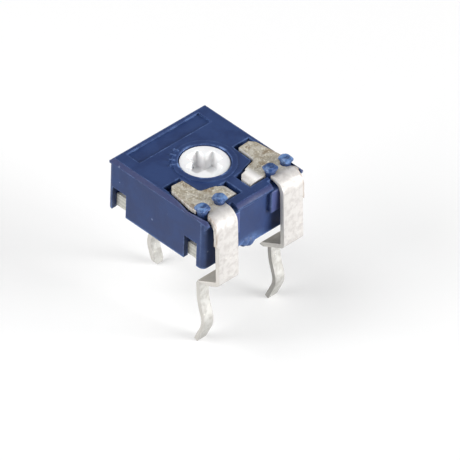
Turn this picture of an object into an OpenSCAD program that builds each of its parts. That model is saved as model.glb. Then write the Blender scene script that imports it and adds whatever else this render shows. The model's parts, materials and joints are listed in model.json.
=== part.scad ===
// Six-millimetre-class trimmer potentiometer, top adjust, with three snap-in pins.
// Origin: on the rotor's axis, in the plane of the pin tips. +Z is up, -Y is the
// side with the two end terminals, and the part is a mirror image about X = 0.
// Millimetres throughout. Heights marked "below the top" are taken from the
// housing's top face.

/* [Housing] */
// Width of the housing, along the side with the two leads
body_w = 6.7; // [6.4:0.02:9]
// Depth of the housing, front to back
body_d = 6.9; // [6.7:0.02:9]
// Height of the housing walls
body_h = 3.1; // [3:0.02:4]
// Height of the top face above the pin tips
stand_h = 8.42; // [7.9:0.02:12]
// Thickness of the top plate
top_t = 0.75; // [0.65:0.05:1]
// Thickness of the side and back walls round the board
wall_t = 0.3; // [0.2:0.05:0.45]
// Thickness of the front wall behind the leads
front_t = 0.68; // [0.6:0.02:0.8]
// Radius of the upright corners, below the top plate
corner_r = 0.3; // [0.15:0.05:0.6]
// Chamfer round the top plate
edge_c = 0.19; // [0.08:0.01:0.22]
// Overhang of the top plate past the front wall
lip_out = 0.22; // [0.1:0.02:0.26]

/* [Rotor] */
// Diameter of the rotor where it shows in the top plate
rotor_d = 2.6; // [2.04:0.02:2.9]
// Play all round between the rotor and its hole
rotor_gap = 0.05; // [0.02:0.01:0.09]
// How far the flange that keeps the rotor in reaches past it
flange_lip = 0.48; // [0.3:0.02:0.6]
// Thickness of the flange
flange_t = 0.65; // [0.5:0.05:0.75]
// Play above the flange
flange_gap = 0.05; // [0.03:0.01:0.08]
// Width of each slot of the driver recess
slot_w = 0.8; // [0.5:0.05:1]
// Wall left at the ends of the slots
slot_wall = 0.36; // [0.2:0.01:0.42]
// Depth of the driver recess
slot_depth = 1; // [0.6:0.05:1.1]
// Full mechanical turn between the two stops, in degrees
turn_deg = 235; // [180:1:260]

/* [Terminals] */
// Thickness of the terminal sheet
sheet_t = 0.25; // [0.2:0.01:0.32]
// Height of the end terminals' plates over the top face
plate_rise = 0.1; // [0:0.02:0.14]
// Distance between the two front pins, centre to centre
pin_pitch = 5; // [4.1:0.02:5.4]
// Distance from the front pins to the back pin, where they enter the board
row_pitch = 5.6; // [4.6:0.02:6.2]
// Width of the pins
pin_w = 0.63; // [0.5:0.01:0.75]
// Width of the lead strips down the front
lead_w = 1.35; // [1.1:0.01:1.5]
// Outward lean of the lead strips, in degrees
lead_lean = 3.5; // [0:0.5:6]
// Play between a terminal's plate and its seat
plate_gap = 0.14; // [0.08:0.01:0.16]
// Diameter of the heat-formed stake heads
stake_d = 0.86; // [0.74:0.02:0.9]

/* [Element] */
// Thickness of the base board
board_t = 0.75; // [0.5:0.01:0.9]
// Height of the board's underside above the foot of the walls
board_foot = 0.1; // [0:0.02:0.2]
// Width of the resistive track
track_w = 0.8; // [0.5:0.05:0.9]
// Thickness of the printed film
film_t = 0.05; // [0.03:0.01:0.08]

/* [Hidden] */
$fn = 96;
eps = 0.01;
skin = 0.02;              // play between pieces that are assembled with a slight drop-in fit

// Levels, from the pin tips up
top_z = stand_h;
wall_z = top_z - body_h;
ceiling_z = top_z - top_t;
board_z = wall_z + board_foot + board_t;
film_z = board_z + film_t;
strap_z = wall_z + board_foot;    // underside of the board, upper face of the collector strap
seat_z = top_z + plate_rise - sheet_t;
flange_z = ceiling_z - flange_gap;
wiper_z = flange_z - flange_t;

// Housing
front_y = -body_d / 2;
back_y = body_d / 2;
side_x = body_w / 2;
hole_r = rotor_d / 2 + rotor_gap;
collar_r = hole_r + 0.32;
collar_h = 0.05;
board_x = side_x - wall_t - skin;
board_front = front_y + front_t + skin;
board_back = back_y - wall_t - skin;
notch_z = board_z + 0.58;         // head of the four side notches
notch_in = 0.45;                  // inner jamb of a notch, inside the back or front face
notch_back = [back_y - 1.31, back_y - 0.32];
notch_front = [front_y + 0.5, front_y + 1.4];
notch_deep = 0.8;
seat_deep = 0.5;                  // depth of the moat round each terminal's seat
seat_inset = 0.16;
rim_gap = 0.36;                   // from the lead to the end of the front rim between the leads
bar_w = 0.56;                     // bar between the two seats
panel = [body_w - 1.7, 0.95];
panel_y = back_y - 0.87;
panel_deep = 0.1;
flange_r = rotor_d / 2 + flange_lip;
stop_r = flange_r + 0.1;
stop_h = flange_t + flange_gap - 0.05;
lug_half = 20;                    // half angle of the rotor's stop lug
lug_r = flange_r + 0.6;
cavity_r = lug_r + 0.35;
stop_play = 0.3;                  // degrees left between lug and stop at each end of the turn
stop_half = 180 - turn_deg / 2 - lug_half - stop_play;

// End terminals; the plate's outline is given for the one at +X
plate_in = collar_r + 0.3;
plate_out = side_x - 0.22;
plate_rear = -0.42;
tab_x = 1;                        // fold line of the tab
tab_tip = bar_w / 2 + plate_gap;
tab_y = [-2.83, -flange_r - 0.17];
tab_drop = 0.17;
stem_d = 0.54;
stake_y = front_y + 0.58;
stake_rim = 0.33;                 // widest part of a stake head, above the top face
stake_crown = 0.2;                // rise of the head above that
stake_under = 0.13;               // and its depth below it
lead_in = pin_pitch / 2 - 0.91;
lead_out = lead_in + lead_w;
stake_x = [lead_in + 0.18, lead_out - 0.1];
burr_out = lead_out + 0.1;        // the strip's wider upper stretch, left from its cutting
burr_z = top_z - 1.5;             // foot of that stretch
bend_r = 0.66;                    // mid-thickness bend radius over the front edge
bend_y = front_y + 0.23;
lead_z = wall_z - 0.76;           // foot of the lead strips
ledge_z = wall_z - 1.52;
shoulder_z = ledge_z - 0.05;      // where the strip narrows to the pin
pin_y = -2.6;                     // front pins, where they enter the board
kink_y = 0.42;                    // how far the pins bulge outward
kink_z = 1.3;                     // height of the bulge above the tips
kink_rise = ledge_z - kink_z;     // what is left for the kink, and what its bends are a share of
kink_top = kink_z + 0.52 * kink_rise;
kink_bend = [1.44 * kink_rise, 0.48 * kink_rise];
back_pin_y = pin_y + row_pitch;

// Collector
cup_r = 0.8;
track_r = flange_r + 0.25;        // mean radius of the resistive track
cup_z = board_z + 0.2;
contact_gap = 0.03;

// Wiper, held under the rotor by two pegs
wiper_t = 0.12;
peg_x = 1.2;
peg_d = 0.4;

function unit(v) = v / norm(v);
function turned(v, a) = [v.x * cos(a) - v.y * sin(a), v.x * sin(a) + v.y * cos(a)];
function cross2(a, b) = a.x * b.y - a.y * b.x;

// Points of corner i of a path, rounded to the radius given as its third value
function corner(p, i, n = 8) =
    i == 0 || i == len(p) - 1 ? [[p[i].x, p[i].y]] :
    let (c = [p[i].x, p[i].y], r = p[i].z,
         a = unit([p[i - 1].x, p[i - 1].y] - c), b = unit([p[i + 1].x, p[i + 1].y] - c),
         half = acos(a * b) / 2,
         hub = c + unit(a + b) * r / sin(half),
         start = c + a * r / tan(half) - hub,
         sweep = (180 - 2 * half) * sign(cross2(b, a)))
    [for (k = [0:n]) hub + turned(start, sweep * k / n)];

function rounded_path(p) = [for (i = [0:len(p) - 1]) each corner(p, i)];

function heading(q, i) =
    unit(unit(q[min(i + 1, len(q) - 1)] - q[max(i, 0) == len(q) - 1 ? i - 1 : i])
       + unit(q[i == 0 ? 1 : i] - q[max(i - 1, 0)]));

function side(q, d) = [for (i = [0:len(q) - 1]) q[i] + turned(heading(q, i), 90) * d];
function reversed(q) = [for (i = [len(q) - 1:-1:0]) q[i]];

// Section of a bent strip of the sheet, drawn along its middle line
module bent_section(p, t = sheet_t) {
    q = rounded_path(p);
    polygon(concat(side(q, t / 2), reversed(side(q, -t / 2))));
}

// A section drawn in (y, z), swept along X from x0 to x1
module sweep_x(x0, x1)
    translate([x0, 0, 0]) rotate([90, 0, 90]) linear_extrude(x1 - x0) children();

module rounded_box_2d(w, d, r) {
    square([w - 2 * r, d], center = true);
    square([w, d - 2 * r], center = true);
    for (x = [-1, 1], y = [-1, 1])
        translate([x * (w / 2 - r), y * (d / 2 - r)]) circle(r);
}

// Section of the given width with its two top corners chamfered
module chamfered_2d(w, h, c) {
    polygon([[-w / 2, 0], [w / 2, 0], [w / 2, h - c], [w / 2 - c, h], [c - w / 2, h],
             [-w / 2, h - c]]);
}

// Walls with rounded corners, under a square-cornered top plate whose front edge overhangs
module body_block() {
    plate_h = 0.27;
    plate_r = 0.08;
    flare_h = 0.34;           // how far below it the overhang runs back into the wall
    translate([0, 0, wall_z]) linear_extrude(body_h - edge_c)
        rounded_box_2d(body_w, body_d, corner_r);
    translate([0, -lip_out / 2, top_z - plate_h]) intersection() {
        linear_extrude(plate_h) rounded_box_2d(body_w, body_d + lip_out, plate_r);
        rotate([90, 0, 0]) linear_extrude(2 * body_d, center = true)
            chamfered_2d(body_w, plate_h, edge_c);
        rotate([90, 0, 90]) linear_extrude(2 * body_w, center = true)
            chamfered_2d(body_d + lip_out, plate_h, edge_c);
    }
    sweep_x(-side_x + plate_r, side_x - plate_r)
        polygon([[front_y - lip_out, top_z - plate_h], [front_y, top_z - plate_h - flare_h],
                 [front_y + corner_r, top_z - plate_h - flare_h],
                 [front_y + corner_r, top_z - edge_c], [front_y - lip_out, top_z - edge_c]]);
}

// Outline of an end terminal's plate, from its rear edge to the bend over the front
module plate_2d() {
    polygon([[plate_in, plate_rear], [plate_out - 0.46, plate_rear + 0.04],
             [plate_out - 0.2, plate_rear - 0.24], [plate_out, -2.2], [burr_out, bend_y - 0.4],
             [burr_out, bend_y], [lead_in, bend_y], [lead_in, tab_y[0]], [tab_x, tab_y[0]],
             [tab_x, tab_y[1] + 0.08], [1.3, tab_y[1] + 0.18], [plate_in - 0.15, tab_y[1] + 0.3],
             [plate_in - 0.04, tab_y[1] + 0.46]]);
}

module tab_2d() {
    polygon([[tab_x + 1, tab_y[0] - 1], [tab_x + 1, tab_y[1] + 1], [tab_x - 0.1, tab_y[1] + 1],
             [tab_tip + 0.25, tab_y[1]], [tab_tip, tab_y[1] - 0.25], [tab_tip, tab_y[0] - 1]]);
}

// Window that a tab goes down through
module tab_window_2d() {
    translate([tab_tip - plate_gap, tab_y[0] - plate_gap])
        square([tab_x - tab_tip + 2 * plate_gap, tab_y[1] - tab_y[0] + 2 * plate_gap]);
}

// Stems of one terminal's two stakes; grow widens them for the notches they pass through
module stake_stems_2d(grow = 0) {
    for (x = stake_x) translate([x, stake_y]) circle(d = stem_d + 2 * grow);
}

// Moat and seat that one end terminal's plate drops into
module terminal_seat() {
    difference() {
        translate([0, 0, top_z - seat_deep]) linear_extrude(seat_deep + 1) {
            offset(delta = plate_gap) plate_2d();
            tab_window_2d();
            translate([lead_in - rim_gap, front_y - 1])
                square([burr_out - lead_in + rim_gap + plate_gap, bend_y - front_y + 1 + eps]);
        }
        translate([0, 0, top_z - seat_deep - eps]) linear_extrude(seat_z - top_z + seat_deep + eps)
            offset(delta = -seat_inset) plate_2d();
        translate([lead_in + seat_inset, bend_y, top_z - seat_deep - eps])
            cube([lead_w - 2 * seat_inset, stake_y - bend_y, seat_z - top_z + seat_deep + eps]);
    }
    translate([0, 0, board_z]) linear_extrude(body_h) tab_window_2d();
}

// Stem and heat-formed head, squarish, with sloping shoulders and a dimple on top
module stake() {
    crown_z = stake_rim + stake_crown;
    flat = 0.34;              // half width across the flats of the head
    profile = [[0, stake_rim - stake_under], [stem_d / 2, stake_rim - stake_under],
               [stake_d / 2 - 0.02, stake_rim - 0.02], [stake_d / 2, stake_rim + 0.03],
               [stake_d / 2 - 0.05, stake_rim + 0.09], [0.24, crown_z], [0.12, crown_z - 0.01],
               [0, crown_z - 0.05]];
    translate([0, 0, top_z - seat_deep - eps])
        cylinder(d = stem_d, h = seat_deep + stake_rim);
    translate([0, 0, top_z]) intersection() {
        rotate_extrude() polygon(profile);
        linear_extrude(1) rounded_box_2d(2 * flat, 2 * flat, 0.12);
    }
}

// Moulded lug on the front wall behind each lead, all its front edges rounded
module front_lug() {
    lug_x = [lead_in - 0.54, lead_out - 0.67];
    lug_z = [top_z - 1.72, seat_z - 0.21];
    bend_gap = 0.045;             // left to the inner face of the lead's bend
    lug_out = front_y - (bend_y - bend_r + sheet_t / 2 + bend_gap);
    round_r = 0.14;
    wide = lug_x[1] - lug_x[0];
    mid = [(lug_x[0] + lug_x[1]) / 2, front_y - lug_out + 0.3, (lug_z[0] + lug_z[1]) / 2];
    translate(mid) intersection() {
        rotate([90, 0, 0]) linear_extrude(1, center = true)
            rounded_box_2d(wide, lug_z[1] - lug_z[0], round_r);
        linear_extrude(2, center = true) rounded_box_2d(wide, 0.6, round_r);
        rotate([90, 0, 90]) linear_extrude(2, center = true)
            rounded_box_2d(0.6, lug_z[1] - lug_z[0], round_r / 2);
    }
}

// Moulding gate's remnant at the foot of the front wall, broken off in three lumps, each
// given as [x, radius, how far it stands out, how far it hangs below the wall]
module gate_remnant() {
    lumps = [[-0.34, 0.42, 0.1, 0.2], [-0.04, 0.34, 0.12, 0.27], [0.14, 0.24, 0.07, 0.16]];
    for (g = lumps) translate([g[0], front_y - g[2] + g[1], wall_z - g[3] + g[1]]) sphere(g[1]);
}

module gate_nick() {
    nick_h = 0.2;
    rotate([90, 0, 0]) linear_extrude(body_d)
        polygon([[-1.4, wall_z - 1], [-1.25, wall_z + nick_h], [-0.68, wall_z + nick_h],
                 [-0.44, wall_z], [-0.44, wall_z - 1]]);
}

// Short raised ticks on the quadrant of the collar that faces the back left corner
module collar_ticks() {
    first = 107;
    step = 14.3;
    for (k = [0:3]) rotate([0, 0, first + k * step])
        translate([hole_r + 0.14, -0.04, top_z - 0.05])
            cube([collar_r - hole_r - 0.02, 0.08, collar_h + 0.09]);
}

module housing() {
    color("#3a4b74") difference() {
        union() {
            difference() {
                union() {
                    body_block();
                    translate([0, 0, top_z - 0.1]) cylinder(r = collar_r, h = 0.1 + collar_h);
                    gate_remnant();
                }
                gate_nick();
                for (s = [0, 1]) mirror([s, 0, 0]) {
                    terminal_seat();
                    // Side notches, two in each side wall
                    for (n = [notch_back, notch_front])
                        translate([side_x - notch_deep, n[0], wall_z - 1])
                            cube([notch_deep + 1, n[1] - n[0], notch_z - wall_z + 1]);
                }
                translate([-panel.x / 2, panel_y - panel.y / 2, top_z - panel_deep])
                    cube([panel.x, panel.y, 1]);
                // Rotor chamber
                difference() {
                    translate([0, 0, board_z - 1]) cylinder(r = cavity_r, h = ceiling_z - board_z + 1);
                    stop_block();
                }
                // Pocket that takes the base board from below
                translate([-board_x - skin, board_front - skin, wall_z - 1])
                    cube([2 * (board_x + skin), board_back - board_front + 2 * skin,
                          board_z - wall_z + 1]);
            }
            for (s = [0, 1]) mirror([s, 0, 0]) {
                front_lug();
                for (x = stake_x) translate([x, stake_y, 0]) stake();
            }
            collar_ticks();
        }
        translate([0, 0, ceiling_z - 1]) cylinder(r = hole_r, h = top_t + 2);
    }
}

// Sector at the front of the chamber that the rotor's lug runs up against
module stop_block() {
    reach = cavity_r + 1;
    wide = reach * tan(stop_half);
    difference() {
        translate([0, 0, ceiling_z - stop_h])
            linear_extrude(stop_h + 1) polygon([[0, 0], [-wide, -reach], [wide, -reach]]);
        translate([0, 0, ceiling_z - stop_h - 1]) cylinder(r = stop_r, h = stop_h + 3);
        for (s = [0, 1]) mirror([s, 0, 0])
            translate([0, 0, board_z]) linear_extrude(body_h) tab_window_2d();
    }
}

// Cross slot for the adjusting driver, its four ends and inner corners rounded
module driver_recess_2d() {
    end_r = 0.12;
    lobe_r = 0.14;
    slot_len = rotor_d - 2 * slot_wall;
    for (a = [0, 90]) rotate(a) rounded_box_2d(slot_len, slot_w, end_r);
    for (a = [0:90:270]) rotate(a) difference() {
        square(slot_w / 2 + lobe_r);
        translate([slot_w / 2 + lobe_r, slot_w / 2 + lobe_r]) circle(lobe_r);
    }
}

module rotor() {
    rotor_top = top_z - 0.02;
    color("#f5f5f3") difference() {
        union() {
            translate([0, 0, flange_z - eps]) cylinder(d = rotor_d, h = rotor_top - flange_z + eps);
            translate([0, 0, wiper_z]) cylinder(r = flange_r, h = flange_t);
            // Stop lug, opposite the housing's stop at mid travel
            translate([0, 0, wiper_z]) rotate([0, 0, 90 - lug_half])
                rotate_extrude(angle = 2 * lug_half)
                    translate([rotor_d / 2, 0]) square([lug_r - rotor_d / 2, flange_t]);
            // Pegs that carry the wiper spring
            for (s = [-1, 1]) translate([s * peg_x, 0, wiper_z - wiper_t - 0.08])
                cylinder(d = peg_d, h = wiper_t + 0.08 + eps);
        }
        translate([0, 0, rotor_top - slot_depth]) linear_extrude(slot_depth + 1) driver_recess_2d();
    }
}

// Stamped spring: one arm to the track, one tongue to the collector's cup
module wiper_spring() {
    disc_r = flange_r - 0.25;
    mid = wiper_z - wiper_t / 2;
    arm_w = 0.6;
    tongue_w = 0.4;
    tongue_y = -1;
    slot_side = 0.12;
    slot_end = 0.62;
    dimple_r = 0.2;
    arm_z = film_z + contact_gap + dimple_r;
    tongue_z = cup_z + contact_gap + wiper_t / 2;
    color("#c9b27a") union() {
        difference() {
            translate([0, 0, wiper_z - wiper_t]) cylinder(r = disc_r, h = wiper_t);
            for (s = [-1, 1]) translate([s * peg_x, 0, wiper_z - wiper_t - 1])
                cylinder(d = peg_d + 2 * skin, h = 2);
            translate([-tongue_w / 2 - slot_side, tongue_y, wiper_z - 1])
                cube([tongue_w + 2 * slot_side, slot_end - tongue_y, 2]);
        }
        sweep_x(-arm_w / 2, arm_w / 2)
            bent_section([[1.1, mid, 0], [1.35, mid, 0.12], [track_r - 0.15, arm_z + 0.02, 0.12],
                          [track_r + 0.12, arm_z, 0]], wiper_t);
        sweep_x(-tongue_w / 2, tongue_w / 2)
            bent_section([[tongue_y - 0.2, mid, 0], [tongue_y + 0.1, mid, 0.1],
                          [-0.25, tongue_z, 0.1], [0.35, tongue_z, 0]], wiper_t);
        translate([0, track_r, arm_z]) intersection() {
            sphere(r = dimple_r);
            translate([-1, -1, -1]) cube([2, 2, 1]);
        }
    }
}

// Square of punched laminate that closes the housing and carries the track
module base_board() {
    color("#c8c1ad") difference() {
        translate([-board_x, board_front, strap_z])
            cube([2 * board_x, board_back - board_front, board_t]);
        translate([0, 0, strap_z - 1]) cylinder(r = cup_r + skin, h = board_t + 2);
    }
}

// Printed horseshoe with a contact pad at each end
module resistive_track() {
    pad_w = 0.62;
    pad_y = [tab_y[0] + 0.2, 0.1 - track_r];
    gap_w = bar_w + 2 * skin;     // the housing's bar comes down between the pads
    color("#2b2826") translate([0, 0, board_z]) linear_extrude(film_t) difference() {
        union() {
            difference() {
                circle(r = track_r + track_w / 2);
                circle(r = track_r - track_w / 2);
            }
            translate([-gap_w / 2 - pad_w, pad_y[0]])
                square([2 * pad_w + gap_w, pad_y[1] - pad_y[0]]);
        }
        translate([-gap_w / 2, board_front - 1]) square([gap_w, 1.5 - board_front]);
    }
}

// Front view of the strip from the bend over the front edge down to the pin's tip
module strip_blank_2d() {
    pin_in = (pin_pitch - pin_w) / 2;
    polygon([[lead_in, top_z + 1], [lead_in, shoulder_z], [pin_in, shoulder_z], [pin_in, -1],
             [pin_in + pin_w, -1], [pin_in + pin_w, shoulder_z], [lead_out - 0.16, shoulder_z],
             [lead_out, shoulder_z + 0.3], [lead_out, burr_z], [burr_out, burr_z],
             [burr_out, top_z + 1]]);
}

// One end terminal, drawn at +X: plate, tab down to the track, lead and snap-in pin
module end_terminal() {
    plate_mid = seat_z + sheet_t / 2;
    knee_y = bend_y - bend_r;
    foot_y = knee_y - tan(lead_lean) * (plate_mid - lead_z);
    run = [[bend_y, plate_mid, 0], [knee_y, plate_mid, bend_r], [foot_y, lead_z, 0.2],
           [pin_y, ledge_z, 0.34], [pin_y - 0.08, kink_top, kink_bend[0]],
           [pin_y - kink_y - 0.12, kink_z, kink_bend[1]], [pin_y + 0.02, 0, 0]];
    tab_leg = tab_tip + sheet_t / 2;
    notch_r = stem_d / 2 + skin;
    tab_run = [[tab_x + 0.3, plate_mid, 0], [tab_x, plate_mid, 0.2],
               [tab_leg, plate_mid - tab_drop, 0.16], [tab_leg, film_z, 0]];
    color("#b0a898") difference() {
        union() {
            translate([0, 0, seat_z]) linear_extrude(sheet_t) plate_2d();
            intersection() {
                sweep_x(lead_in - 1, burr_out + 1) bent_section(run);
                rotate([90, 0, 0]) linear_extrude(body_d) strip_blank_2d();
            }
            // Tab folded down through the top plate on to the track's end pad
            intersection() {
                translate([0, tab_y[1], 0]) rotate([90, 0, 0])
                    linear_extrude(tab_y[1] - tab_y[0]) bent_section(tab_run);
                translate([0, 0, film_z - 1]) linear_extrude(10) tab_2d();
            }
        }
        translate([0, 0, seat_z - 1]) linear_extrude(sheet_t + 2) {
            stake_stems_2d(skin);
            // The outer stem's notch is open to the strip's edge, its front side splayed
            translate([stake_x[1], stake_y])
                polygon([[0, notch_r], [1, notch_r], [1, -notch_r - 0.9], [0, -notch_r]]);
        }
    }
}

module end_terminal_right() end_terminal();
module end_terminal_left() mirror([1, 0, 0]) end_terminal();

// Strap under the board with a drawn cup through its hole, ending in the back pin
module collector_terminal() {
    strap_mid = strap_z - sheet_t / 2;
    ring_r = 1.3;
    run = [[0, strap_mid, 0], [back_pin_y, strap_mid, 0.3],
           [back_pin_y + 0.08, kink_top, kink_bend[0]],
           [back_pin_y + kink_y + 0.14, kink_z, kink_bend[1]], [back_pin_y + 0.06, 0, 0]];
    color("#c4c0b6") difference() {
        union() {
            intersection() {
                sweep_x(-pin_w / 2, pin_w / 2) bent_section(run);
                // The tip is rounded across its width
                union() {
                    translate([-1, -1, pin_w / 2]) cube([2, 8, top_z]);
                    translate([0, -1, pin_w / 2]) rotate([-90, 0, 0]) cylinder(d = pin_w, h = 8);
                }
            }
            translate([0, 0, strap_z - sheet_t]) cylinder(r = ring_r, h = sheet_t);
            translate([0, 0, strap_z - sheet_t]) cylinder(r = cup_r, h = cup_z - strap_z + sheet_t);
        }
        translate([0, 0, strap_z - 1])
            cylinder(r = cup_r - sheet_t, h = cup_z - strap_z + 1 - sheet_t);
    }
}

housing();
rotor();
wiper_spring();
base_board();
resistive_track();
end_terminal_left();
end_terminal_right();
collector_terminal();
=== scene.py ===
import json
import math
import bpy
from mathutils import Matrix, Vector

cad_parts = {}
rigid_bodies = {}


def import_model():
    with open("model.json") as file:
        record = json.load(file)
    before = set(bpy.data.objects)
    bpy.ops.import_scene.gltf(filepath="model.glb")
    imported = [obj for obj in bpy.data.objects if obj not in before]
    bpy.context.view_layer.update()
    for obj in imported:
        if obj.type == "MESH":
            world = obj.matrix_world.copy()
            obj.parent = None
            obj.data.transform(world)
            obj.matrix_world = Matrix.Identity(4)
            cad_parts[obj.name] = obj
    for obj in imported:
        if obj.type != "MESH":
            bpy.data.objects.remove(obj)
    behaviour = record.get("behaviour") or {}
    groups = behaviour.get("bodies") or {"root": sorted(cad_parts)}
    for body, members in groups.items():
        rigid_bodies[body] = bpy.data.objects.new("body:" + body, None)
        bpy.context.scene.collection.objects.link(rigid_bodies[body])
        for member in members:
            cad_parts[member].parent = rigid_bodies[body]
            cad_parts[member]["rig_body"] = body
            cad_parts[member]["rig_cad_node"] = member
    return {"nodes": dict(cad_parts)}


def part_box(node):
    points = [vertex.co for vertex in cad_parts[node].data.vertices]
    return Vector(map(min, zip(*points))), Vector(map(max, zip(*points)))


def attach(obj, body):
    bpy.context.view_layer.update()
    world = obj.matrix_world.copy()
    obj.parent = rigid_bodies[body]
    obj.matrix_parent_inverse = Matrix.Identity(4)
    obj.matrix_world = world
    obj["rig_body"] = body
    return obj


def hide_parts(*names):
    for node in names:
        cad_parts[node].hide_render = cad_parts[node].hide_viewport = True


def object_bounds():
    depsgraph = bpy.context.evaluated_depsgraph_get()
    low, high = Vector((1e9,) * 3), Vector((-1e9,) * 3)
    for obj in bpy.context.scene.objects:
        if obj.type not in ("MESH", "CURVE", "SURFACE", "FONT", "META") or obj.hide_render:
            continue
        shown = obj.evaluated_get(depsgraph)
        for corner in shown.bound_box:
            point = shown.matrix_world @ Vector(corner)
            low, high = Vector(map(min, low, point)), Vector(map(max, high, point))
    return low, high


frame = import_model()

# Trimmer potentiometer. Metres, origin on the rotor's axis in the plane of the pin tips,
# +Z up, the two end terminals towards -Y.

mm = 0.001
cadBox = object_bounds()
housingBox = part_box("housing")
frontY = housingBox[0].y                   # the fronts of the lugs behind the leads
rotorDrop = 0.02 * mm                      # how far the rotor's top lies under the housing's
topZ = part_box("rotor")[1].z + rotorDrop    # the housing's top face
print("frame loaded, size in mm:", [round((b - a) / mm, 2) for a, b in zip(*cadBox)])


# selecting, copying and finishing pieces; flat and smooth are angles in degrees

meshSpec = {"merge": 0.0005 * mm, "flat": 0.5, "smooth": 35}


def selectOnly(obj):
    bpy.ops.object.select_all(action="DESELECT")
    obj.select_set(True)
    bpy.context.view_layer.objects.active = obj


def copyNode(nodeName, pieceName):
    selectOnly(frame["nodes"][nodeName])
    bpy.ops.object.duplicate(linked=False)
    piece = bpy.context.view_layer.objects.active
    piece.name = piece.data.name = pieceName
    bpy.ops.object.parent_clear(type="CLEAR_KEEP_TRANSFORM")
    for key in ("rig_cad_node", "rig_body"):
        del piece[key]
    bpy.ops.object.mode_set(mode="EDIT")
    bpy.ops.mesh.select_all(action="SELECT")
    bpy.ops.mesh.remove_doubles(threshold=meshSpec["merge"])
    bpy.ops.mesh.dissolve_limited(angle_limit=math.radians(meshSpec["flat"]))
    bpy.ops.object.mode_set(mode="OBJECT")
    return piece


def applyModifier(piece, kind, **settings):
    mod = piece.modifiers.new(kind.lower(), kind)
    for key, value in settings.items():
        setattr(mod, key, value)
    selectOnly(piece)
    bpy.ops.object.modifier_apply(modifier=mod.name)


def vertexGroup(piece, name, weightOf):
    group = piece.vertex_groups.new(name=name)
    for vertex in piece.data.vertices:
        weight = weightOf(vertex.co)
        if weight > 0:
            group.add([vertex.index], weight, "REPLACE")
    return name


def clouds(name, size, depth):
    texture = bpy.data.textures.new(name, "CLOUDS")
    texture.noise_scale = size
    texture.noise_depth = depth
    return texture


# rounds the edges that turn by more than spec["sharp"] degrees, then says which body the piece
# rides on and hides the node it stands for
def finishPiece(piece, spec, body, nodeName):
    applyModifier(piece, "BEVEL", width=spec["softEdge"], segments=spec["segments"],
                  limit_method="ANGLE", angle_limit=math.radians(spec["sharp"]),
                  use_clamp_overlap=True)
    selectOnly(piece)
    bpy.ops.object.shade_smooth_by_angle(angle=math.radians(meshSpec["smooth"]))
    applyModifier(piece, "WEIGHTED_NORMAL", keep_sharp=True)    # flat faces stay flat beside a bevel
    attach(piece, body)
    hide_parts(nodeName)
    print(piece.name, "made,", len(piece.data.polygons), "faces")


# shader building

def fillInputs(tree, made, values):
    for key, value in values.items():
        if isinstance(value, bpy.types.NodeSocket):
            tree.links.new(value, made.inputs[key])
        else:
            made.inputs[key].default_value = value
    return made


def node(tree, kind, inputs=None, **settings):
    made = tree.nodes.new(kind)
    for key, value in settings.items():
        setattr(made, key, value)
    return fillInputs(tree, made, inputs or {})


def linear(colour):                        # from red, green and blue out of 255
    parts = (part / 255 for part in colour)
    return tuple(c / 12.92 if c <= 0.04045 else ((c + 0.055) / 1.055) ** 2.4 for c in parts) + (1.0,)


def mixColour(tree, factor, *colours):
    made = node(tree, "ShaderNodeMix", data_type="RGBA")
    first, second = (linear(c) if isinstance(c, tuple) else c for c in colours)
    return fillInputs(tree, made, {0: factor, 6: first, 7: second}).outputs[2]


def mixValue(tree, factor, first, second):
    made = node(tree, "ShaderNodeMix", data_type="FLOAT")
    return fillInputs(tree, made, {0: factor, 2: first, 3: second}).outputs[0]


def maths(tree, operation, *values):
    made = node(tree, "ShaderNodeMath", operation=operation)
    return fillInputs(tree, made, dict(enumerate(values))).outputs[0]


def times(tree, first, *others):
    for other in others:
        first = maths(tree, "MULTIPLY", first, other)
    return first


# as the value goes from start to end, the result goes smoothly from first to last
def ramp(tree, value, start, end, first=0.0, last=1.0):
    made = node(tree, "ShaderNodeMapRange", {"Value": value, "From Min": start, "From Max": end,
                                             "To Min": first, "To Max": last},
                interpolation_type="SMOOTHSTEP")
    return made.outputs[0]


def noise(tree, vector, scale, detail=4.0, roughness=0.55, distortion=0.0):
    made = node(tree, "ShaderNodeTexNoise", {"Vector": vector, "Scale": scale, "Detail": detail,
                                             "Roughness": roughness, "Distortion": distortion})
    return made.outputs[0]


def stretched(tree, vector, x=1.0, y=1.0, z=1.0):
    return node(tree, "ShaderNodeMapping", {"Vector": vector, "Scale": (x, y, z)}).outputs[0]


def vectorMaths(tree, operation, *vectors):
    made = node(tree, "ShaderNodeVectorMath", operation=operation)
    return fillInputs(tree, made, dict(enumerate(vectors))).outputs["Value"]


def axisOf(tree, vector, axis):
    return node(tree, "ShaderNodeSeparateXYZ", {0: vector}).outputs[axis]


def trueNormal(tree):
    return node(tree, "ShaderNodeNewGeometry").outputs["True Normal"]


def newMaterial(name, spec):
    mat = bpy.data.materials.new(name)
    mat.use_nodes = True
    tree = mat.node_tree
    fillInputs(tree, tree.nodes["Principled BSDF"], spec["shader"])
    return mat, tree, tree.nodes.new("ShaderNodeTexCoord").outputs["Object"]


# roughness between the spec's two values, following the grain
def roughnessOf(tree, grain, spec):
    return ramp(tree, grain, *grainSpread, *spec["roughness"])


def setSurface(tree, spec, colour, roughness, height):
    strength, distance = spec["bump"]
    raised = node(tree, "ShaderNodeBump", {"Strength": strength, "Distance": distance,
                                           "Height": height})
    fillInputs(tree, tree.nodes["Principled BSDF"],
               {"Base Color": colour, "Roughness": roughness, "Normal": raised.outputs[0]})


# shared effects, each a group with its own values in every material

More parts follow.
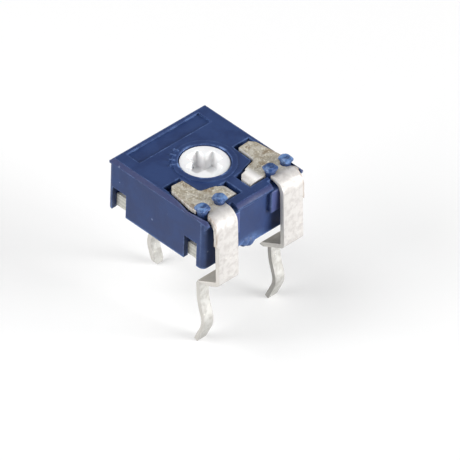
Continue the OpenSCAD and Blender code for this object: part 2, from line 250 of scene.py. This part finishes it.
# an input given None is a vector, any other a number with that default; all outputs are numbers
def newGroup(name, inputs, outputs):
    tree = bpy.data.node_groups.new(name, "ShaderNodeTree")
    for label, value in inputs.items():
        kind = "NodeSocketVector" if value is None else "NodeSocketFloat"
        socket = tree.interface.new_socket(name=label, in_out="INPUT", socket_type=kind)
        if value is not None:
            socket.default_value = value
    for label in outputs:
        tree.interface.new_socket(name=label, in_out="OUTPUT", socket_type="NodeSocketFloat")
    return tree, tree.nodes.new("NodeGroupInput").outputs, tree.nodes.new("NodeGroupOutput").inputs


def useGroup(tree, group, inputs):
    made = tree.nodes.new("ShaderNodeGroup")
    made.node_tree = group
    return fillInputs(tree, made, inputs).outputs


# worn edges: where a rounded normal turns away from the true one, broken up by noise; turn is the
# cosine between the two where the wear starts and where it is full
wearSpec = {"width": 0.06 * mm, "breakup": 1500.0, "samples": 4, "turn": (0.997, 0.95),
            "patches": (0.42, 0.64, 0.25, 1.0)}


def makeWearGroup():
    tree, gIn, gOut = newGroup("edgeWear", {"Vector": None, "Width": wearSpec["width"],
                                            "Breakup": wearSpec["breakup"]}, ["Mask"])
    rounded = node(tree, "ShaderNodeBevel", {"Radius": gIn["Width"]}, samples=wearSpec["samples"])
    along = vectorMaths(tree, "DOT_PRODUCT", rounded.outputs[0], trueNormal(tree))
    patchy = ramp(tree, noise(tree, gIn["Vector"], gIn["Breakup"]), *wearSpec["patches"])
    tree.links.new(times(tree, ramp(tree, along, *wearSpec["turn"]), patchy), gOut["Mask"])
    return tree


# grain: fine and broad unevenness of a surface; each row is a scale and then the noise's detail,
# roughness and distortion
grainSpec = {"fine": (9000.0, 3.0), "broad": (900.0, 5.0, 0.6, 0.3)}
grainSpread = (0.3, 0.7)                   # nearly all of a grain lies between these values


def makeGrainGroup():
    fineScale, *fineShape = grainSpec["fine"]
    broadScale, *broadShape = grainSpec["broad"]
    tree, gIn, gOut = newGroup("grain", {"Vector": None, "Fine": fineScale, "Broad": broadScale},
                               ["Fine", "Broad"])
    tree.links.new(noise(tree, gIn["Vector"], gIn["Fine"], *fineShape), gOut["Fine"])
    tree.links.new(noise(tree, gIn["Vector"], gIn["Broad"], *broadShape), gOut["Broad"])
    return tree


# specks: small, separate and of uneven size; spread and smallest are parts of a cell's width
speckSpec = {"scale": 3500.0, "amount": 0.1, "spread": 0.22, "smallest": 0.1, "rim": (1.0, 0.6)}


def makeSpeckGroup():
    tree, gIn, gOut = newGroup("specks", {"Vector": None, "Scale": speckSpec["scale"],
                                          "Amount": speckSpec["amount"]}, ["Mask"])
    cells = node(tree, "ShaderNodeTexVoronoi", {"Vector": gIn["Vector"], "Scale": gIn["Scale"]}).outputs
    draws = node(tree, "ShaderNodeSeparateColor", {0: cells["Color"]}).outputs
    chosen = maths(tree, "LESS_THAN", draws[0], gIn["Amount"])
    reach = maths(tree, "MULTIPLY_ADD", draws[1], speckSpec["spread"], speckSpec["smallest"])
    speck = ramp(tree, maths(tree, "DIVIDE", cells["Distance"], reach), *speckSpec["rim"])
    tree.links.new(times(tree, chosen, speck), gOut["Mask"])
    return tree


wearGroup = makeWearGroup()
grainGroup = makeGrainGroup()
speckGroup = makeSpeckGroup()
print("shader groups made")


def wearOf(tree, coords, widthAndBreakup):
    width, breakup = widthAndBreakup
    return useGroup(tree, wearGroup, {"Vector": coords, "Width": width, "Breakup": breakup})["Mask"]


def grainOf(tree, coords, fineAndBroad):
    fine, broad = fineAndBroad
    return useGroup(tree, grainGroup, {"Vector": coords, "Fine": fine, "Broad": broad})


def specksOf(tree, coords, scaleAndAmount):
    scale, amount = scaleAndAmount
    return useGroup(tree, speckGroup, {"Vector": coords, "Scale": scale, "Amount": amount})["Mask"]


# blue moulding: satin, faintly mottled, scuffed pale along its edges and round the rotor's hole, partly
# as painted highlights; whitened at the gate and paler along its bottom edge; brighter where it was
# heated and pressed into stake heads, with pale patches there that are partly painted highlights;
# painted shade on the chamfer round the top plate and painted light on the fronts of the lugs
blueSpec = {
    "shader": {"Specular IOR Level": 0.38},
    "deep": (29, 50, 96), "light": (39, 61, 108), "scuff": (118, 146, 200),
    # pressed: the stake heads' pale patches, partly their own tone and partly painted highlights
    "heated": (44, 68, 114), "pressedPaleAndHighlight": (98, 130, 176), "dust": (140, 156, 190),
    # chamfer: painted shade on the chamfer round the top plate
    # lug: painted light on the lugs' fronts, where the leads shade them
    "paleAtGateAndBottom": (76, 104, 152), "paintedShadeChamfer": (10, 30, 88), "lug": (64, 75, 124),
    "roughness": (0.4, 0.54), "headRoughness": 0.17,
    "bump": (0.4, 0.012 * mm), "broadRelief": 2.0,
    # scales and shapes of the patterns, and the values between which each comes in
    "grain": (11000.0, 800.0), "mottle": (0.36, 0.64),
    "wear": (0.12 * mm, 2200.0), "specks": (3600.0, 0.03),
    "pressNoise": (2400.0, 3.0), "pressPatches": (0.46, 0.66),
    "whiteNoise": (2600.0, 4.0, 0.6), "whitePatches": (0.4, 0.62),
    "rimNoise": (1500.0, 3.0), "rimPatches": (0.46, 0.6),
    # how strongly each mark shows
    "dustShow": 0.4, "chamferShow": 0.85, "chamferSpared": 0.75,
    "whiteSpread": 0.5, "whiteLeast": 0.4, "collarWear": (0.2, 0.55), "tickWearAndHighlight": (0.0, 0.3),
    # where: heights, distances and a point; of two, a mark starts at the first and is full at the
    # second
    "headHeight": (topZ + 0.14 * mm, topZ + 0.26 * mm),
    "footHeight": (topZ - 2.95 * mm, topZ - 3.1 * mm),
    "gate": (-0.1 * mm, frontY, housingBox[0].z + 0.25 * mm),
    "gateSquash": 0.45, "gateReach": (0.8 * mm, 0.4 * mm),
    "rim": (1.48 * mm, 1.36 * mm), "rimHeight": (topZ - 0.04 * mm, topZ + 0.02 * mm),
    "collar": 1.67 * mm, "collarReach": (0.03 * mm, 0.09 * mm),
    "tick": (1.95 * mm, 1.85 * mm), "tickHeight": (topZ + 0.055 * mm, topZ + 0.085 * mm),
    "chamferFoot": (topZ - 0.3 * mm, topZ - 0.2 * mm),
    "chamferHead": (topZ + 0.05 * mm, topZ + 0.01 * mm),
    "lugFront": (frontY + 0.035 * mm, frontY + 0.005 * mm),
    # how far a face of the chamfer looks up: less than a level one, more than a wall
    "notLevel": (0.95, 0.9), "notWall": (0.3, 0.5),
}


def blueBase(tree, coords, grain, height, heated):
    mottle = ramp(tree, grain["Broad"], *blueSpec["mottle"])
    colour = mixColour(tree, mottle, blueSpec["deep"], blueSpec["light"])
    # pale patches on the stake heads: partly the pressed plastic's own tone, partly painted highlights
    pressedPaleAndHighlight = ramp(tree, noise(tree, coords, *blueSpec["pressNoise"]), *blueSpec["pressPatches"])
    headColour = mixColour(tree, pressedPaleAndHighlight, blueSpec["heated"], blueSpec["pressedPaleAndHighlight"])
    colour = mixColour(tree, heated, colour, headColour)
    patches = ramp(tree, noise(tree, coords, *blueSpec["whiteNoise"]), *blueSpec["whitePatches"])
    squashed = stretched(tree, coords, blueSpec["gateSquash"], 1, 1)
    fromGate = vectorMaths(tree, "DISTANCE", squashed, blueSpec["gate"])
    # paler at the gate, where the plastic is whitened, and along the bottom edge
    paleAtGateAndBottom = maths(tree, "MAXIMUM", ramp(tree, fromGate, *blueSpec["gateReach"]),
                     ramp(tree, height, *blueSpec["footHeight"]))
    showing = maths(tree, "MULTIPLY_ADD", patches, blueSpec["whiteSpread"], blueSpec["whiteLeast"])
    return mixColour(tree, times(tree, paleAtGateAndBottom, showing), colour, blueSpec["paleAtGateAndBottom"])


# the chamfer round the top plate, darkened there as painted shade that tones down its sheen, and worn
# less
def chamferMask(tree, height):
    faceUp = axisOf(tree, trueNormal(tree), "Z")
    return times(tree, ramp(tree, faceUp, *blueSpec["notLevel"]),
                 ramp(tree, faceUp, *blueSpec["notWall"]),
                 ramp(tree, height, *blueSpec["chamferFoot"]),
                 ramp(tree, height, *blueSpec["chamferHead"]))


# scuffs, partly painted highlights: along the edges, in patches round the rotor's hole and on the tops
# of the ticks
def blueWearAndHighlights(tree, coords, height, paintedShadeChamfer):
    fromAxis = vectorMaths(tree, "LENGTH", stretched(tree, coords, 1, 1, 0))
    fromCollar = maths(tree, "ABSOLUTE", maths(tree, "SUBTRACT", fromAxis, blueSpec["collar"]))
    wear = times(tree, wearOf(tree, coords, blueSpec["wear"]),
                 ramp(tree, fromCollar, *blueSpec["collarReach"], *blueSpec["collarWear"]),
                 maths(tree, "MULTIPLY_ADD", paintedShadeChamfer, -blueSpec["chamferSpared"], 1.0))
    rimPatches = ramp(tree, noise(tree, coords, *blueSpec["rimNoise"]), *blueSpec["rimPatches"])
    rimWearAndHighlight = times(tree, ramp(tree, fromAxis, *blueSpec["rim"]),
                    ramp(tree, height, *blueSpec["rimHeight"]), rimPatches)
    tickWearAndHighlight = times(tree, ramp(tree, height, *blueSpec["tickHeight"], *blueSpec["tickWearAndHighlight"]),
                     ramp(tree, fromAxis, *blueSpec["tick"]))
    return maths(tree, "MAXIMUM", maths(tree, "MAXIMUM", wear, rimWearAndHighlight), tickWearAndHighlight)


def makeBluePlastic():
    mat, tree, coords = newMaterial("bluePlastic", blueSpec)
    grain = grainOf(tree, coords, blueSpec["grain"])
    height = axisOf(tree, coords, "Z")
    heated = ramp(tree, height, *blueSpec["headHeight"])
    paintedShadeChamfer = chamferMask(tree, height)
    paintedLightOnLug = ramp(tree, axisOf(tree, coords, "Y"), *blueSpec["lugFront"])
    colour = blueBase(tree, coords, grain, height, heated)
    # painted shade on the chamfer, toning down its sheen
    colour = mixColour(tree, times(tree, paintedShadeChamfer, blueSpec["chamferShow"]), colour, blueSpec["paintedShadeChamfer"])
    # painted light on the lugs' fronts, paler where the leads cast their shade
    colour = mixColour(tree, paintedLightOnLug, colour, blueSpec["lug"])
    # pale scuffs, partly wear and partly painted highlights
    colour = mixColour(tree, blueWearAndHighlights(tree, coords, height, paintedShadeChamfer), colour, blueSpec["scuff"])
    dusty = times(tree, specksOf(tree, coords, blueSpec["specks"]), blueSpec["dustShow"])
    colour = mixColour(tree, dusty, colour, blueSpec["dust"])
    rough = mixValue(tree, heated, roughnessOf(tree, grain["Broad"], blueSpec),
                     blueSpec["headRoughness"])
    relief = maths(tree, "MULTIPLY_ADD", grain["Broad"], blueSpec["broadRelief"], grain["Fine"])
    setSurface(tree, blueSpec, colour, rough, relief)
    return mat


# white moulding of the rotor, which lets a little light through
whiteSpec = {
    "shader": {"Subsurface Weight": 0.12, "Subsurface Radius": (0.35, 0.3, 0.28),
               "Subsurface Scale": 1.0 * mm},
    "clean": (250, 250, 249), "cloudy": (243, 243, 245), "scuff": (228, 229, 234),
    "roughness": (0.38, 0.5), "bump": (0.2, 0.008 * mm),
    "grain": (9000.0, 1100.0), "clouds": (0.35, 0.7), "wear": (0.05 * mm, 2500.0), "wearShow": 0.25,
}


def makeWhitePlastic():
    mat, tree, coords = newMaterial("whitePlastic", whiteSpec)
    grain = grainOf(tree, coords, whiteSpec["grain"])
    cleared = ramp(tree, grain["Broad"], *whiteSpec["clouds"])
    colour = mixColour(tree, cleared, whiteSpec["cloudy"], whiteSpec["clean"])
    wear = times(tree, wearOf(tree, coords, whiteSpec["wear"]), whiteSpec["wearShow"])
    colour = mixColour(tree, wear, colour, whiteSpec["scuff"])
    setSurface(tree, whiteSpec, colour, roughnessOf(tree, grain["Broad"], whiteSpec), grain["Fine"])
    return mat


# tinned strip: dull and pitted, its plates stained brown and yellow, its leads paler, the scored outer
# edges of its leads darker; painted shade on its pins, on their sides and on the faces turned to the
# body; painted light on the sides of its leads and a painted highlight on the right tab
tinSpec = {
    "shader": {"Metallic": 0.5},
    "lead": (208, 205, 202), "leadCloud": (195, 191, 188), "plate": (204, 199, 187),
    # pin and pinCloud are painted shade on the pins under the body
    "plateCloud": (174, 165, 147), "pin": (196, 195, 191), "pinCloud": (180, 178, 173),
    "stain": (132, 111, 84), "fleck": (240, 236, 222), "paintedTabHighlight": (240, 238, 236),
    "pit": (150, 134, 122), "side": (222, 219, 213), "pinSide": (160, 158, 154),
    "inside": (186, 181, 171), "scored": (176, 160, 146),
    "roughness": (0.58, 0.72), "bump": (0.45, 0.014 * mm), "broadRelief": 1.5,
    # scales and shapes of the patterns, and the values between which each comes in; where four
    # values stand, the last two say how strongly it shows at either end
    "grain": (10500.0, 2900.0), "leadMottle": (0.42, 0.66), "pinMottle": (0.4, 0.64),
    "plateMottle": (0.4, 0.6), "stainNoise": (1500.0, 4.0, 0.65, 0.8),
    "stainPatches": (0.52, 0.68, 0.0, 0.7), "brightGrain": (0.5, 0.68, 0.0, 0.7),
    "flecks": (6500.0, 0.16), "fleckShow": 0.4, "pits": (5200.0, 0.14), "pitShow": 0.35,
    "scoreNoise": (9000.0, 3.0), "scoreStretch": 0.16, "scoreLines": (0.35, 0.65), "scoreShow": 0.8,
    "facesSide": (0.8, 0.95, 0.0, 0.85), "facesBody": (0.2, 0.42, 0.0, 0.8),
    # where: heights and distances between which one part turns to another
    "plateHeight": (topZ - 0.05 * mm, topZ + 0.06 * mm),
    "plateFront": (frontY + 0.36 * mm, frontY + 0.76 * mm),
    "pinHeight": (3.95 * mm, 3.6 * mm), "pinShade": (0.0, 1.5 * mm, 0.25, 1.0),
    "tab": (1.35 * mm, 1.05 * mm), "tabStart": (0.0, 0.3 * mm),
    "outerEdge": (2.93 * mm, 2.965 * mm),
}


def tinFaces(tree, coords, grain, paintedShadeOnPin):
    x, y, z = (axisOf(tree, coords, axis) for axis in "XYZ")

    def mottled(part):
        levels = ramp(tree, grain["Broad"], *tinSpec[part + "Mottle"])
        return mixColour(tree, levels, tinSpec[part], tinSpec[part + "Cloud"])

    # the pins, under the body, in darker colours: painted shade
    leadColour = mixColour(tree, paintedShadeOnPin, mottled("lead"), mottled("pin"))
    stained = ramp(tree, noise(tree, coords, *tinSpec["stainNoise"]), *tinSpec["stainPatches"])
    plateColour = mixColour(tree, stained, mottled("plate"), tinSpec["stain"])
    bright = ramp(tree, grain["Fine"], *tinSpec["brightGrain"])
    plateColour = mixColour(tree, bright, plateColour, tinSpec["fleck"])
    onTop = ramp(tree, z, *tinSpec["plateHeight"])
    onPlate = times(tree, onTop, ramp(tree, y, *tinSpec["plateFront"]))
    colour = mixColour(tree, onPlate, leadColour, plateColour)
    paintedHighlightOnTab = times(tree, ramp(tree, x, *tinSpec["tab"]),    # only the right tab, paler as a painted highlight
                  ramp(tree, x, *tinSpec["tabStart"]), onTop)
    # painted highlight on the right tab
    return mixColour(tree, paintedHighlightOnTab, colour, tinSpec["paintedTabHighlight"])


# the sheet's cut sides, lighter on the leads as painted light and darker on the pins as painted shade;
# the faces turned to the body, darker as painted shade; and the leads' scored outer edges
def tinEdges(tree, coords, colour, paintedShadeOnPin):
    x = axisOf(tree, coords, "X")
    facing = trueNormal(tree)
    paintedLightAndShadeSides = ramp(tree, maths(tree, "ABSOLUTE", axisOf(tree, facing, "X")), *tinSpec["facesSide"])
    shaded = times(tree, paintedShadeOnPin, ramp(tree, x, *tinSpec["pinShade"]))
    # painted light on the leads' sides, painted shade on the pins' sides
    colour = mixColour(tree, paintedLightAndShadeSides, colour, mixColour(tree, shaded, tinSpec["side"], tinSpec["pinSide"]))
    inside = ramp(tree, axisOf(tree, facing, "Y"), *tinSpec["facesBody"])
    # painted shade on the faces turned to the body
    colour = mixColour(tree, inside, colour, tinSpec["inside"])
    upright = stretched(tree, coords, 1, 1, tinSpec["scoreStretch"])
    lines = ramp(tree, noise(tree, upright, *tinSpec["scoreNoise"]), *tinSpec["scoreLines"])
    atEdge = ramp(tree, maths(tree, "ABSOLUTE", x), *tinSpec["outerEdge"])
    scored = times(tree, atEdge, lines, tinSpec["scoreShow"])
    return mixColour(tree, scored, colour, tinSpec["scored"])


def makeTinnedSteel():
    mat, tree, coords = newMaterial("tinnedSteel", tinSpec)
    grain = grainOf(tree, coords, tinSpec["grain"])
    paintedShadeOnPin = ramp(tree, axisOf(tree, coords, "Z"), *tinSpec["pinHeight"])
    colour = tinFaces(tree, coords, grain, paintedShadeOnPin)
    pits = times(tree, specksOf(tree, coords, tinSpec["pits"]), tinSpec["pitShow"])
    colour = mixColour(tree, pits, colour, tinSpec["pit"])
    flecks = times(tree, specksOf(tree, coords, tinSpec["flecks"]), tinSpec["fleckShow"])
    colour = mixColour(tree, flecks, colour, tinSpec["fleck"])
    colour = tinEdges(tree, coords, colour, paintedShadeOnPin)
    relief = maths(tree, "MULTIPLY_ADD", grain["Broad"], tinSpec["broadRelief"], grain["Fine"])
    setSurface(tree, tinSpec, colour, roughnessOf(tree, grain["Broad"], tinSpec), relief)
    return mat


# laminate board, its punched edge in faint layers
boardSpec = {
    "shader": {}, "layer": (182, 182, 174), "between": (204, 202, 194), "fibre": (168, 160, 140),
    "roughness": (0.7, 0.85), "bump": (0.5, 0.02 * mm), "grain": (7000.0, 1300.0),
    "layers": {"Scale": 1400.0, "Distortion": 2.5, "Detail": 2.0}, "fibres": (0.5, 0.7, 0.0, 0.5),
}


def makeLaminate():
    mat, tree, coords = newMaterial("laminate", boardSpec)
    grain = grainOf(tree, coords, boardSpec["grain"])
    layers = node(tree, "ShaderNodeTexWave", {"Vector": coords, **boardSpec["layers"]},
                  bands_direction="Z").outputs["Color"]
    colour = mixColour(tree, layers, boardSpec["layer"], boardSpec["between"])
    fibres = ramp(tree, grain["Fine"], *boardSpec["fibres"])
    colour = mixColour(tree, fibres, colour, boardSpec["fibre"])
    setSurface(tree, boardSpec, colour, roughnessOf(tree, grain["Broad"], boardSpec), grain["Fine"])
    return mat


# printed carbon film, and the wiper's bare sheet, whose grain is drawn out along the rolling
filmSpec = {"shader": {}, "dark": (32, 31, 31), "pale": (46, 44, 42), "roughness": (0.5, 0.7),
            "bump": (0.3, 0.01 * mm), "grain": (8000.0, 1200.0), "rolling": 1.0}
brassSpec = {"shader": {"Metallic": 1.0}, "dark": (176, 146, 88), "pale": (200, 172, 112),
             "roughness": (0.28, 0.42), "bump": (0.25, 0.01 * mm), "grain": (7000.0, 900.0),
             "rolling": 0.12}


def makeTwoTone(name, spec):
    mat, tree, coords = newMaterial(name, spec)
    grain = grainOf(tree, stretched(tree, coords, 1.0, spec["rolling"], 1.0), spec["grain"])
    colour = mixColour(tree, grain["Broad"], spec["dark"], spec["pale"])
    setSurface(tree, spec, colour, roughnessOf(tree, grain["Fine"], spec), grain["Fine"])
    return mat


tinnedSteel = makeTinnedSteel()
finishes = {
    "housing": makeBluePlastic(), "rotor": makeWhitePlastic(), "base_board": makeLaminate(),
    "resistive_track": makeTwoTone("carbonFilm", filmSpec),
    "wiper_spring": makeTwoTone("springBrass", brassSpec),
    "end_terminal_left": tinnedSteel, "end_terminal_right": tinnedSteel,
    "collector_terminal": tinnedSteel,
}
for nodeName, mat in finishes.items():
    for item in frame["nodes"][nodeName].material_slots:
        item.material = mat
print("materials made and given to the CAD nodes")


# housing: the moat behind each plate cut wider, the four pressed stake heads made uneven, and the
# moulded edges softened
shellSpec = {"softEdge": 0.045 * mm, "segments": 3, "sharp": 35,
             "moatX": (1.86 * mm, 3.0 * mm), "moatBehind": 0.3 * mm, "moatUnder": 0.25 * mm,
             "moatDepth": 0.5 * mm,
             "headDent": 0.075 * mm, "dentSize": 0.26 * mm, "dentDepth": 2, "dentLevel": 0.8,
             "dentFrom": topZ + 0.2 * mm, "dentBlend": 0.05 * mm,
             "headX": 2.84 * mm, "headReach": 0.5 * mm, "pushFrom": topZ + 0.18 * mm,
             "headPush": -0.12 * mm, "headFlat": 0.26 * mm}


def cutMoat(piece, way, plateEnd):
    inner, outer = shellSpec["moatX"]
    behind, under = shellSpec["moatBehind"], shellSpec["moatUnder"]
    bpy.ops.mesh.primitive_cube_add(size=1, location=(way * (inner + outer) / 2,
                                                      plateEnd + (behind - under) / 2, topZ))
    cutter = bpy.context.view_layer.objects.active
    cutter.scale = (outer - inner, behind + under, 2 * shellSpec["moatDepth"])
    bpy.ops.object.transform_apply(location=True, scale=True)
    applyModifier(piece, "BOOLEAN", object=cutter, operation="DIFFERENCE", solver="EXACT")
    bpy.data.objects.remove(cutter)


# opens edit mode on the vertices of the stake head near x that wanted picks
def editHead(piece, x, wanted=lambda co: True):
    selectOnly(piece)
    bpy.ops.object.mode_set(mode="EDIT")
    bpy.ops.mesh.select_all(action="DESELECT")
    bpy.ops.object.mode_set(mode="OBJECT")
    for vertex in piece.data.vertices:
        co = vertex.co
        vertex.select = (co.z > shellSpec["pushFrom"] and abs(co.x - x) < shellSpec["headReach"]
                         and wanted(co))
    bpy.ops.object.mode_set(mode="EDIT")


def dentWeight(co):
    return min(1.0, max(0.0, (co.z - shellSpec["dentFrom"]) / shellSpec["dentBlend"]))


shell = copyNode("housing", "housingShell")
for way in (-1, 1):
    cutMoat(shell, way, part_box("end_terminal_right")[1].y)
dents = clouds("stakeDents", shellSpec["dentSize"], shellSpec["dentDepth"])
applyModifier(shell, "DISPLACE", texture=dents, texture_coords="LOCAL",
              vertex_group=vertexGroup(shell, "heads", dentWeight),
              strength=shellSpec["headDent"], mid_level=shellSpec["dentLevel"])
headX = shellSpec["headX"]
editHead(shell, -headX)                    # the left outer head was pressed outwards
bpy.ops.transform.translate(value=(shellSpec["headPush"], 0, 0))
bpy.ops.object.mode_set(mode="OBJECT")
flatX = headX - shellSpec["headFlat"]
editHead(shell, headX, lambda co: co.x < flatX)    # and the right outer one flat on its inner side
bpy.ops.transform.resize(value=(0, 1, 1), center_override=(flatX, 0, 0))
bpy.ops.object.mode_set(mode="OBJECT")
finishPiece(shell, shellSpec, "body", "housing")

# rotor: edges of the driver recess and the rim softened
rotorSpec = {"softEdge": 0.035 * mm, "segments": 3, "sharp": 35}
finishPiece(copyNode("rotor", "rotorMoulding"), rotorSpec, "turning_rotor", "rotor")

# terminals: cuts across the leads, so that the sheared outer edge can waver
leadSpec = {"softEdge": 0.02 * mm, "segments": 2, "sharp": 40,
            "cuts": 34, "foot": 3.9 * mm, "crown": 8.3 * mm,
            "edgeX": 2.95 * mm, "frontY": frontY + 0.41 * mm,
            "waver": 0.07 * mm, "waverSize": 0.16 * mm, "waverDepth": 3, "waverLevel": 0.7}


def makeTerminal(nodeName, pieceName, way):
    piece = copyNode(nodeName, pieceName)
    foot, crown = leadSpec["foot"], leadSpec["crown"]
    bpy.ops.object.mode_set(mode="EDIT")
    for k in range(leadSpec["cuts"]):
        bpy.ops.mesh.select_all(action="SELECT")
        z = foot + (crown - foot) * (k + 0.5) / leadSpec["cuts"]
        bpy.ops.mesh.bisect(plane_co=(0, 0, z), plane_no=(0, 0, 1))
    bpy.ops.object.mode_set(mode="OBJECT")
    outer = vertexGroup(piece, "outer", lambda co: float(
        way * co.x > leadSpec["edgeX"] and co.y < leadSpec["frontY"] and co.z > foot))
    waver = clouds(pieceName + "Waver", leadSpec["waverSize"], leadSpec["waverDepth"])
    applyModifier(piece, "DISPLACE", texture=waver, texture_coords="LOCAL", vertex_group=outer,
                  strength=leadSpec["waver"] * way, direction="X", mid_level=leadSpec["waverLevel"])
    finishPiece(piece, leadSpec, "body", nodeName)


makeTerminal("end_terminal_left", "endTerminalLeft", -1)
makeTerminal("end_terminal_right", "endTerminalRight", 1)
finishPiece(copyNode("collector_terminal", "collectorTerminal"), leadSpec, "body",
            "collector_terminal")

# floor: pale, and lit up a little for the camera and in reflections; glow is that light's strength
floorSpec = {"size": 0.5, "drop": 0.004 * mm, "colour": (0.6, 0.6, 0.6, 1.0), "glow": 0.4}
bpy.ops.mesh.primitive_plane_add(size=floorSpec["size"],
                                 location=(0, 0, cadBox[0].z - floorSpec["drop"]))
floor = bpy.context.view_layer.objects.active
floor.name = "floor"
floorMat = bpy.data.materials.new("paleFloor")
floorMat.use_nodes = True
tree = floorMat.node_tree
tree.nodes.clear()
path = tree.nodes.new("ShaderNodeLightPath").outputs
seen = maths(tree, "MAXIMUM", path["Is Camera Ray"],
             maths(tree, "MAXIMUM", path["Is Glossy Ray"], path["Is Transmission Ray"]))
diffuse = node(tree, "ShaderNodeBsdfDiffuse", {"Color": floorSpec["colour"]})
glow = node(tree, "ShaderNodeEmission", {"Strength": times(tree, seen, floorSpec["glow"])})
both = node(tree, "ShaderNodeAddShader", {0: diffuse.outputs[0], 1: glow.outputs[0]})
node(tree, "ShaderNodeOutputMaterial", {"Surface": both.outputs[0]})
floor.data.materials.append(floorMat)


def outwards(azimuth, elevation):          # from the object towards a lamp or the camera, radians
    return Vector((math.sin(azimuth) * math.cos(elevation),
                   -math.cos(azimuth) * math.cos(elevation), math.sin(elevation)))


# name: azimuth and elevation in degrees, distance and size in metres, power in watts
lampSpec = {
    "frontKey": (28, 18, 0.35, 0.2, 1.55),
    "leftFill": (-110, 25, 0.30, 0.20, 0.68),
    "overhead": (-135, 62, 0.30, 0.14, 0.26),
}
lampAim = Vector((0, 0, topZ / 2))
for name, (azimuth, elevation, distance, size, power) in lampSpec.items():
    away = outwards(math.radians(azimuth), math.radians(elevation))
    bpy.ops.object.light_add(type="AREA", location=away * distance + lampAim)
    lamp = bpy.context.view_layer.objects.active
    lamp.name = name
    lamp.data.energy = power
    lamp.data.size = size
    lamp.rotation_euler = away.to_track_quat("Z", "Y").to_euler()
    lamp.visible_camera = False

# world: white where the camera sees it, dimmer in reflections the higher up, a low level on all else
worldSpec = {"level": 0.15, "low": 0.8, "overhead": 0.4, "rise": (0.1, 0.5)}
world = bpy.data.worlds.new("studio")
bpy.context.scene.world = world
world.use_nodes = True
tree = world.node_tree
path = tree.nodes.new("ShaderNodeLightPath").outputs
direct = maths(tree, "MAXIMUM", path["Is Camera Ray"], path["Is Transmission Ray"])
height = axisOf(tree, tree.nodes.new("ShaderNodeTexCoord").outputs["Generated"], "Z")
mirrored = times(tree, path["Is Glossy Ray"],
                 ramp(tree, height, *worldSpec["rise"], worldSpec["low"], worldSpec["overhead"]))
plain = times(tree, maths(tree, "SUBTRACT", 1.0, path["Is Glossy Ray"]), worldSpec["level"])
strength = maths(tree, "MAXIMUM", maths(tree, "ADD", mirrored, plain), direct)
background = tree.nodes["Background"]
background.inputs["Color"].default_value = (1.0, 1.0, 1.0, 1.0)
tree.links.new(strength, background.inputs["Strength"])

cameraSpec = {
    "azimuth": -45.361, "elevation": 38.787, "roll": 2.0588,     # degrees
    "distance": 0.398413, "clip": (0.01, 5.0),                   # metres
    "lens": 622.98, "sensor": 36.0,                              # millimetres
    "aimRight": 0.0031715, "aimDown": 0.0085888,    # tangents, off the top of the rotor's axis
}
azimuth, elevation, roll = (math.radians(cameraSpec[k]) for k in ("azimuth", "elevation", "roll"))
back = outwards(azimuth, elevation)
right = (-back).cross(Vector((0, 0, 1))).normalized()
up = right.cross(-back)
rolledRight = right * math.cos(roll) + up * math.sin(roll)
rolledUp = up * math.cos(roll) - right * math.sin(roll)
aim = (rolledRight * cameraSpec["aimRight"] - rolledUp * cameraSpec["aimDown"] - back).normalized()
sideways = aim.cross(rolledUp).normalized()
turned = Matrix((sideways, sideways.cross(aim), -aim)).transposed()
bpy.ops.object.camera_add(location=Vector((0, 0, topZ)) + back * cameraSpec["distance"])
camera = bpy.context.view_layer.objects.active
camera.rotation_euler = turned.to_euler()
camera.data.sensor_width = cameraSpec["sensor"]
camera.data.lens = cameraSpec["lens"]
camera.data.clip_start, camera.data.clip_end = cameraSpec["clip"]
bpy.context.scene.camera = camera
bpy.context.scene.view_settings.view_transform = "Standard"
print("studio and camera set")
